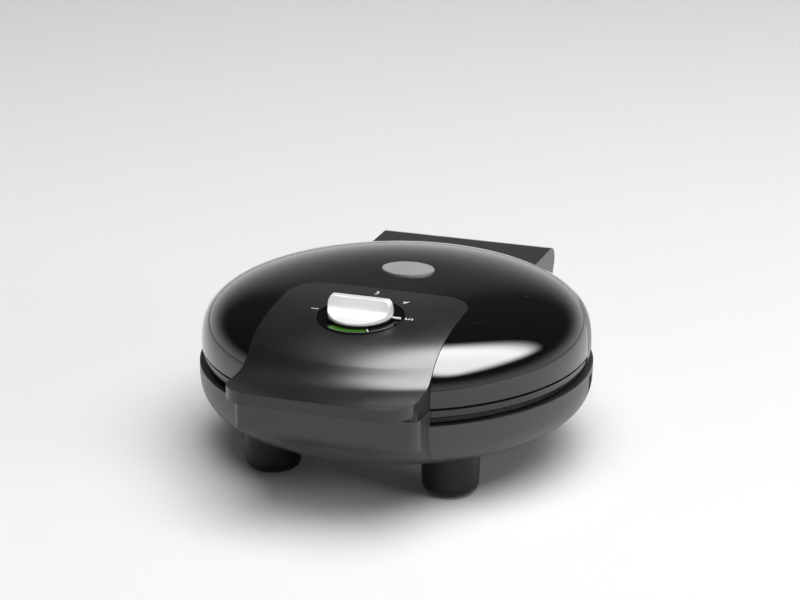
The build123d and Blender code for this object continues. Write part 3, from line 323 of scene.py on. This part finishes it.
def nonStickCoating():
    # sprayed coating over a casting: fine orange peel with pale flecks
    look = {
        "colour": (0.022, 0.022, 0.023),
        "fleck": (0.16, 0.16, 0.155),
        "fleckSize": 2100.0,
        "peel": 1400.0,
        "peelDepth": 0.002 * mm,
        "roughness": (0.3, 0.42),
    }
    material, tree, shader = newMaterial("nonStickCoating")
    where = addNode(tree, "ShaderNodeTexCoord", -1200, 0).outputs["Object"]
    flecks = addNode(tree, "ShaderNodeTexVoronoi", -900, 100, Scale=look["fleckSize"])
    peel = addNode(tree, "ShaderNodeTexNoise", -900, -200, Scale=look["peel"], Detail=3.0)
    for node in (flecks, peel):
        tree.links.new(where, node.inputs["Vector"])
    shown = addMap(tree, flecks.outputs["Distance"], 0.1, 0.2, 1.0, 0.0, -650, 100)
    mix = addNode(tree, "ShaderNodeMix", -400, 100)
    mix.data_type = "RGBA"
    mix.inputs[6].default_value = (*look["colour"], 1)
    mix.inputs[7].default_value = (*look["fleck"], 1)
    tree.links.new(shown, mix.inputs[0])
    tree.links.new(mix.outputs[2], shader.inputs["Base Color"])
    low, high = look["roughness"]
    tree.links.new(addMap(tree, peel.outputs[0], 0.3, 0.7, low, high, -400, -50), shader.inputs["Roughness"])
    addBump(tree, shader, peel.outputs[0], look["peelDepth"], -300, -300)
    return material


def tintedLens(name, tint, glow):
    # a clear moulding over a lamp, with faint prisms under its surface
    material, tree, shader = newMaterial(name)
    where = addNode(tree, "ShaderNodeTexCoord", -1000, 0).outputs["Object"]
    prisms = addNode(tree, "ShaderNodeTexWave", -700, 0, Scale=420.0, Distortion=0.6)
    tree.links.new(where, prisms.inputs["Vector"])
    dark = [value * 0.55 for value in tint]
    tone = addTone(tree, prisms.outputs["Fac"], dark, tint, -400, 100)
    tree.links.new(tone, shader.inputs["Base Color"])
    tree.links.new(tone, shader.inputs["Emission Color"])
    shader.inputs["Emission Strength"].default_value = glow
    shader.inputs["Transmission Weight"].default_value = 0.35
    shader.inputs["Roughness"].default_value = 0.12
    addBump(tree, shader, prisms.outputs["Fac"], 0.000003, -300, -300)
    return material


coating = nonStickCoating()
lensGreen = tintedLens("lensGreen", (0.055, 0.2, 0.02), 0.25)
lensSmoke = tintedLens("lensSmoke", (0.035, 0.035, 0.034), 0.02)
lampAmber = tintedLens("lampAmber", (0.8, 0.35, 0.12), 0.1)

finishes = {
    "lid_gloss": glossBlack,
    "panel_satin": satinBlack,
    "rear_satin": satinBlack,
    "base_shell": satinGrey,
    "black_trim": trimBlack,
    "foot_black": footBlack,
    "pad_rubber": padRubber,
    "cooking_plate": coating,
    "screw_steel": screwZinc,
    "heater_steel": heaterSteel,
    "sheet_steel": sheetSteel,
    "pin_steel": screwZinc,
    "silver": knobSilver,
    "pointer_white": printWhite,
    "badge_metal": badgeSilver,
    "lens_green": lensGreen,
    "lens_clear": lensSmoke,
    "lamp_glass": lampAmber,
    "inner_plastic": ceramicCream,
    "gland_plastic": footBlack,
    "lead_rubber": leadRubber,
    "fuse": sheetSteel,
}
shading = {"crease": radians(28), "sliver": 0.03 * mm}


def faceDirection(face, slivers):
    # a sliver has no reliable direction, so it takes that of the face past its longest side
    seen = {face}
    while face in slivers:
        side = max(face.edges, key=lambda edge: edge.calc_length())
        beyond = [other for other in side.link_faces if other not in seen]
        if not beyond:
            break
        face = beyond[0]
        seen.add(face)
    return face.normal


def shadeSmoothly(piece, look):
    mesh = bmesh.new()
    mesh.from_mesh(piece.data)
    slivers = set()
    for face in mesh.faces:
        face.smooth = True
        longest = max(edge.calc_length() for edge in face.edges)
        if 2 * face.calc_area() < look["sliver"] * longest:
            slivers.add(face)
    for edge in mesh.edges:
        pair = edge.link_faces
        if len(pair) == 2:
            first, second = (faceDirection(face, slivers) for face in pair)
            edge.smooth = first.angle(second, 0.0) < look["crease"]
    mesh.to_mesh(piece.data)
    mesh.free()
    weighted = piece.modifiers.new("weightedNormals", "WEIGHTED_NORMAL")
    weighted.mode = "FACE_AREA"
    weighted.weight = 100
    weighted.keep_sharp = True


slotOf = {part["node"]: part["material_slot"] for part in frame["record"]["subparts"]}
ownFinish = {"lid_rim_ring": bandGrey, "dial_ring": dialBlack, "knob_skirt": dialBlack}
for nodeName, piece in nodes.items():
    piece.data.materials.clear()
    piece.data.materials.append(ownFinish.get(nodeName, finishes[slotOf[nodeName]]))
    shadeSmoothly(piece, shading)
print("finishes laid on")


# Camera

cameraLook = {"target": (0.002, 0.0, 0.0821), "turn": 19.2, "rise": 19.4, "distance": 1.5, "lens": 124.74}


def placeCamera():
    turn, rise = radians(cameraLook["turn"]), radians(cameraLook["rise"])
    back = Vector((sin(turn) * cos(rise), -cos(turn) * cos(rise), sin(rise)))
    camera = bpy.data.objects.new("camera", bpy.data.cameras.new("camera"))
    camera.data.lens = cameraLook["lens"]
    camera.data.sensor_width = 36
    camera.location = Vector(cameraLook["target"]) + back * cameraLook["distance"]
    camera.rotation_euler = back.to_track_quat("Z", "Y").to_euler()
    scene.collection.objects.link(camera)
    scene.camera = camera


placeCamera()


# Studio

studio = {
    "floorColour": (0.93, 0.93, 0.93),
    "floorGlossColour": (0.09, 0.09, 0.09),
    "horizonLight": 0.82,
    "overheadLight": 0.03,
}


def layFloor():
    bpy.ops.mesh.primitive_plane_add(size=8)
    floor = bpy.context.object
    floor.name = "studioFloor"
    material, tree, shader = newMaterial("studioFloor")
    where = addNode(tree, "ShaderNodeTexCoord", -900, 0).outputs["Object"]
    mottle = addNode(tree, "ShaderNodeTexNoise", -650, 0, Scale=3.0, Detail=3.0)
    tree.links.new(where, mottle.inputs["Vector"])
    pale = studio["floorColour"]
    tone = addTone(tree, mottle.outputs[0], [value * 0.985 for value in pale], pale, -350, 0)
    tree.links.new(tone, shader.inputs["Base Color"])
    shader.inputs["Roughness"].default_value = 0.75
    shader.inputs["Specular IOR Level"].default_value = 0.2
    floor.data.materials.append(material)


def lightSky():
    # pale near the horizon, where the walls are, and dark overhead
    world = bpy.data.worlds.new("studio")
    scene.world = world
    world.use_nodes = True
    tree = world.node_tree
    background = tree.nodes["Background"]
    where = addNode(tree, "ShaderNodeTexCoord", -900, 0).outputs["Generated"]
    apart = addNode(tree, "ShaderNodeSeparateXYZ", -700, 0)
    tree.links.new(where, apart.inputs[0])
    ramp = addNode(tree, "ShaderNodeValToRGB", -450, 0)
    ramp.color_ramp.interpolation = "EASE"
    ramp.color_ramp.elements[0].position = 0.0
    ramp.color_ramp.elements[1].position = 0.4
    side, top = studio["horizonLight"], studio["overheadLight"]
    ramp.color_ramp.elements[0].color = (side, side, side, 1)
    ramp.color_ramp.elements[1].color = (top, top, top, 1)
    tree.links.new(apart.outputs[2], ramp.inputs[0])
    tree.links.new(ramp.outputs[0], background.inputs[0])
    background.inputs[1].default_value = 1.0


def turnTo(thing, place, aim):
    thing.location = place
    toward = Vector(place) - Vector(aim)
    thing.rotation_euler = toward.to_track_quat("Z", "Y").to_euler()


def addFill(name, look):
    # broad light that shapes the shading and does not show in the gloss
    lamp = bpy.data.lights.new(name, "AREA")
    lamp.shape = "RECTANGLE"
    lamp.size, lamp.size_y = look["size"]
    lamp.energy = look["power"]
    box = bpy.data.objects.new(name, lamp)
    turnTo(box, look["place"], look.get("aim", (0, 0, 0.05)))
    box.visible_glossy = False
    scene.collection.objects.link(box)


def addSoftbox(name, look):
    # a glowing sheet that fades out towards its edges, as seen in the gloss
    bpy.ops.mesh.primitive_plane_add(size=1)
    sheet = bpy.context.object
    sheet.name = name
    sheet.scale = (*look["size"], 1)
    turnTo(sheet, look["place"], look.get("aim", (0, 0, 0.05)))
    material, tree, shader = newMaterial(name)
    where = addNode(tree, "ShaderNodeTexCoord", -1100, 0).outputs["Generated"]
    apart = addNode(tree, "ShaderNodeSeparateXYZ", -900, 0)
    tree.links.new(where, apart.inputs[0])
    fades = []
    for index, fade in enumerate(look["fade"]):
        centred = addMap(tree, apart.outputs[index], 0.0, 1.0, -1.0, 1.0, -700, -250 * index)
        away = addNode(tree, "ShaderNodeMath", -500, -250 * index)
        away.operation = "ABSOLUTE"
        tree.links.new(centred, away.inputs[0])
        edge = addNode(tree, "ShaderNodeMapRange", -300, -250 * index)
        edge.interpolation_type = "SMOOTHERSTEP"
        for socket, value in ((1, 1.0 - fade), (2, 1.0), (3, 1.0), (4, 0.0)):
            edge.inputs[socket].default_value = value
        tree.links.new(away.outputs[0], edge.inputs[0])
        fades.append(edge.outputs[0])
    both = addNode(tree, "ShaderNodeMath", -100, 0)
    both.operation = "MULTIPLY"
    tree.links.new(fades[0], both.inputs[0])
    tree.links.new(fades[1], both.inputs[1])
    glow = addNode(tree, "ShaderNodeMath", 50, 0)
    glow.operation = "MULTIPLY"
    glow.inputs[1].default_value = look["glow"]
    tree.links.new(both.outputs[0], glow.inputs[0])
    shader.inputs["Base Color"].default_value = (0, 0, 0, 1)
    shader.inputs["Specular IOR Level"].default_value = 0.0
    shader.inputs["Emission Color"].default_value = (1, 1, 1, 1)
    tree.links.new(glow.outputs[0], shader.inputs["Emission Strength"])
    sheet.data.materials.append(material)
    sheet.visible_diffuse = False
    sheet.visible_shadow = False


layFloor()
lightSky()
addSoftbox("bigBox", {"place": (0.72, -0.05, 1.87), "size": (3.3, 3.1), "fade": (0.62, 0.62), "glow": 12.5})
addFill("overheadFill", {"place": (0.5, -0.3, 2.3), "size": (2.6, 2.6), "power": 68.0})
addFill("rightFill", {"place": (1.9, -0.3, 0.5), "size": (0.9, 0.7), "power": 9.0})
scene.view_settings.view_transform = "Standard"
print("camera and lights set")


# Gloss lid: the dome drawn finer than the frame holds it, with true normals

lidLook = {"longestEdge": 3.0 * mm, "onSurface": 0.06 * mm, "sliverArea": 2e-9}


def copyOf(nodeName, name, finish=None):
    source = nodes[nodeName]
    piece = bpy.data.objects.new(name, source.data.copy())
    scene.collection.objects.link(piece)
    if finish:
        piece.data.materials.clear()
        piece.data.materials.append(finish)
    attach(piece, source["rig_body"])
    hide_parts(nodeName)
    return piece


def onDome(point, slack, grow=0.0):
    distance = sqrt(point.x ** 2 + point.y ** 2)
    if distance > lidRadius + grow + slack or point.z < equator:
        return False
    span = domeNormal(point, grow)
    if distance > 0.8 * lidRadius:
        high = min(max((point.z - equator) / (lidTop - equator + grow), 0.0), 1.0)
        there = (lidRadius + grow) * (1 - high ** casing["domeFlat"]) ** (1 / casing["domeRound"])
        return abs(distance - there) * max(abs(span.x), abs(span.y), 0.3) < slack
    return abs(point.z - domeHeight(distance, grow)) < slack


def ontoDome(point, grow=0.0):
    distance = sqrt(point.x ** 2 + point.y ** 2)
    if distance < 0.8 * lidRadius:
        return Vector((point.x, point.y, domeHeight(distance, grow)))
    high = min(max((point.z - equator) / (lidTop - equator + grow), 0.0), 1.0)
    there = (lidRadius + grow) * (1 - high ** casing["domeFlat"]) ** (1 / casing["domeRound"])
    return Vector((point.x / distance * there, point.y / distance * there, point.z))


def refineDome(piece, look):
    mesh = bmesh.new()
    mesh.from_mesh(piece.data)
    bmesh.ops.remove_doubles(mesh, verts=mesh.verts, dist=1e-6)
    outside = {vertex for vertex in mesh.verts if onDome(vertex.co, look["onSurface"])}
    for _ in range(4):
        long = [edge for edge in mesh.edges if edge.calc_length() > look["longestEdge"]
                and edge.verts[0] in outside and edge.verts[1] in outside
                and abs(edge.verts[0].co.z - edge.verts[1].co.z) < edge.calc_length()]
        if not long:
            break
        cut = bmesh.ops.subdivide_edges(mesh, edges=long, cuts=1)
        for item in cut["geom_split"]:
            if isinstance(item, bmesh.types.BMVert) and item not in outside:
                item.co = ontoDome(item.co)
                outside.add(item)
        bmesh.ops.triangulate(mesh, faces=[face for face in mesh.faces if len(face.verts) > 4])
    mesh.to_mesh(piece.data)
    mesh.free()


def trueNormals(piece, look, grow=0.0, above=0.0):
    # every corner on the dome takes the direction of the curve itself
    data = piece.data
    data.set_sharp_from_angle(angle=shading["crease"])
    normals = [Vector(corner.vector) for corner in data.corner_normals]
    held = [vertex.co.z > above and onDome(vertex.co, look["onSurface"], grow) for vertex in data.vertices]
    for face in data.polygons:
        if all(held[v] for v in face.vertices):
            outward = domeNormal(data.vertices[face.vertices[0]].co, grow)
            if abs(face.normal.dot(outward)) > 0.5 or face.area < look["sliverArea"]:
                for corner in face.loop_indices:
                    normals[corner] = domeNormal(data.vertices[data.loops[corner].vertex_index].co, grow)
    data.normals_split_custom_set(normals)


lid = copyOf("lid_cover", "lidDome", glossBlack)
refineDome(lid, lidLook)
trueNormals(lid, lidLook)
print("lid dome refined:", len(lid.data.vertices), "vertices")

panelLook = {"onSurface": 0.06 * mm, "sliverArea": 2e-9, "domeAbove": 26.0 * mm}


def weldCopy(nodeName, name, finish):
    piece = copyOf(nodeName, name, finish)
    mesh = bmesh.new()
    mesh.from_mesh(piece.data)
    bmesh.ops.remove_doubles(mesh, verts=mesh.verts, dist=1e-6)
    mesh.to_mesh(piece.data)
    mesh.free()
    return piece


panel = weldCopy("front_panel", "panelTop", satinBlack)
trueNormals(panel, panelLook, casing["panelProud"], rimTop + panelLook["domeAbove"])
print("front panel smoothed")


# Numbers printed round the dial

dialPrint = {
    "height": 4.6 * mm,
    "lift": 0.16 * mm,
    "places": {"1": (-26.1, 2.0), "2": (-17.5, 24.0), "3": (-2.6, 32.8), "4": (16.4, 23.7), "5": (25.6, 2.3)},
}


def printNumber(text, x, y, look):
    curve = bpy.data.curves.new("number" + text, "FONT")
    curve.body = text
    curve.size = look["height"] * 1.35
    curve.align_x = "CENTER"
    curve.align_y = "CENTER"
    curve.resolution_u = 6
    drawn = bpy.data.objects.new("drawn" + text, curve)
    scene.collection.objects.link(drawn)
    bpy.context.view_layer.update()
    mesh = bpy.data.meshes.new_from_object(drawn)
    bpy.data.objects.remove(drawn)
    outward = atan2(y, x)
    middle = Vector((x * mm, dialCentre.y + y * mm, 0))
    mesh.transform(Matrix.Translation(middle) @ Matrix.Rotation(outward - pi / 2, 4, "Z"))
    for vertex in mesh.vertices:
        away = sqrt(vertex.co.x ** 2 + vertex.co.y ** 2)
        vertex.co.z = domeHeight(away, casing["panelProud"]) + look["lift"]
    piece = bpy.data.objects.new("dialNumber" + text, mesh)
    scene.collection.objects.link(piece)
    mesh.materials.clear()
    mesh.materials.append(printWhite)
    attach(piece, "lid")


for text, (x, y) in dialPrint["places"].items():
    printNumber(text, x, y, dialPrint)
print("dial printed")


# Knob cap: the same shape, with softly rounded edges

knobLook = {
    "radius": 17.2,
    "shoulder": 6.1,
    "crownRadius": 14.3,
    "height": 10.5,
    "ridge": [(0.0, 10.5), (1.55, 10.45), (2.05, 10.0), (2.6, 8.3), (3.35, 6.3), (4.5, 4.6), (6.0, 3.35),
              (17.3, 2.0)],
    "softness": 0.5,
    "closeRows": [0.0, 0.5, 1.0, 1.3, 1.55, 1.8, 2.05, 2.3, 2.6, 3.0, 3.35, 3.9, 4.5, 5.2, 6.0],
    "wideRows": 16,
    "lastRow": 17.15,
    "columns": 56,
    "foot": 1.05,
}


def along(points, where):
    for (x0, y0), (x1, y1) in zip(points, points[1:]):
        if where <= x1:
            return y0 + (y1 - y0) * (where - x0) / (x1 - x0)
    return points[-1][1]


def softLower(first, second, softness):
    # the lower of two heights, blended where they are close
    apart = max(softness - abs(first - second), 0.0) / softness
    return min(first, second) - apart * apart * softness / 4


def knobHeight(x, y, look):
    away = min(sqrt(x * x + y * y), look["radius"])
    share = max(away - look["crownRadius"], 0.0) / (look["radius"] - look["crownRadius"])
    crown = look["shoulder"] + (look["height"] - look["shoulder"]) * sqrt(max(1 - share ** 2, 0.0))
    return softLower(crown, along(look["ridge"], abs(y)), look["softness"])


def makeKnob(look):
    # rows lie close together on the ridge and wider out on the shelves
    crease, count, columns = look["closeRows"][-1], look["wideRows"], look["columns"]
    shelf = look["lastRow"] - crease
    rows = look["closeRows"] + [crease + shelf * (k / count) ** 0.8 for k in range(1, count + 1)]
    rows = [-y for y in rows[:0:-1]] + rows
    mesh = bmesh.new()
    grid = []
    for y in rows:
        half = sqrt(max(look["radius"] ** 2 - y * y, 0.0))
        line = []
        for k in range(columns + 1):
            x = -half * cos(pi * k / columns)
            line.append(mesh.verts.new((x * mm, y * mm, knobHeight(x, y, look) * mm)))
        grid.append(line)
    for low, high in zip(grid, grid[1:]):
        for k in range(columns):
            mesh.faces.new((low[k], low[k + 1], high[k + 1], high[k]))
    rim = grid[0] + [line[-1] for line in grid[1:-1]] + grid[-1][::-1] + [line[0] for line in grid[-2:0:-1]]
    foot = [mesh.verts.new((vertex.co.x, vertex.co.y, look["foot"] * mm)) for vertex in rim]
    for k in range(len(rim)):
        after = (k + 1) % len(rim)
        mesh.faces.new((rim[after], rim[k], foot[k], foot[after]))
    mesh.faces.new(foot[::-1])
    bmesh.ops.recalc_face_normals(mesh, faces=mesh.faces)
    for face in mesh.faces:
        face.smooth = True
    mesh.transform(dialFrame)
    data = bpy.data.meshes.new("knobSoft")
    mesh.to_mesh(data)
    mesh.free()
    data.set_sharp_from_angle(angle=radians(40))
    data.materials.append(knobSilver)
    knob = bpy.data.objects.new("knobSoft", data)
    scene.collection.objects.link(knob)
    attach(knob, "knob")
    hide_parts("knob_cap")


makeKnob(knobLook)
print("knob drawn")


# White tick between the two lenses

tickLook = {
    "turn": radians(-60.0),
    "inner": 18.7 * mm,
    "outer": 22.3 * mm,
    "width": 0.55 * mm,
    "height": 0.4 * mm,
    "top": -0.35 * mm,
}


def makeTick(look):
    bpy.ops.mesh.primitive_cube_add(size=1)
    tick = bpy.context.object
    tick.name = "lensTick"
    length = look["outer"] - look["inner"]
    shape = Matrix.Diagonal((length, look["width"], look["height"], 1))
    middle = (look["inner"] + look["outer"]) / 2
    place = Matrix.Translation((middle, 0, look["top"] - look["height"] / 2))
    tick.data.transform(dialFrame @ Matrix.Rotation(look["turn"], 4, "Z") @ place @ shape)
    tick.data.materials.append(printWhite)
    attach(tick, "lid")


makeTick(tickLook)
print("tick drawn")
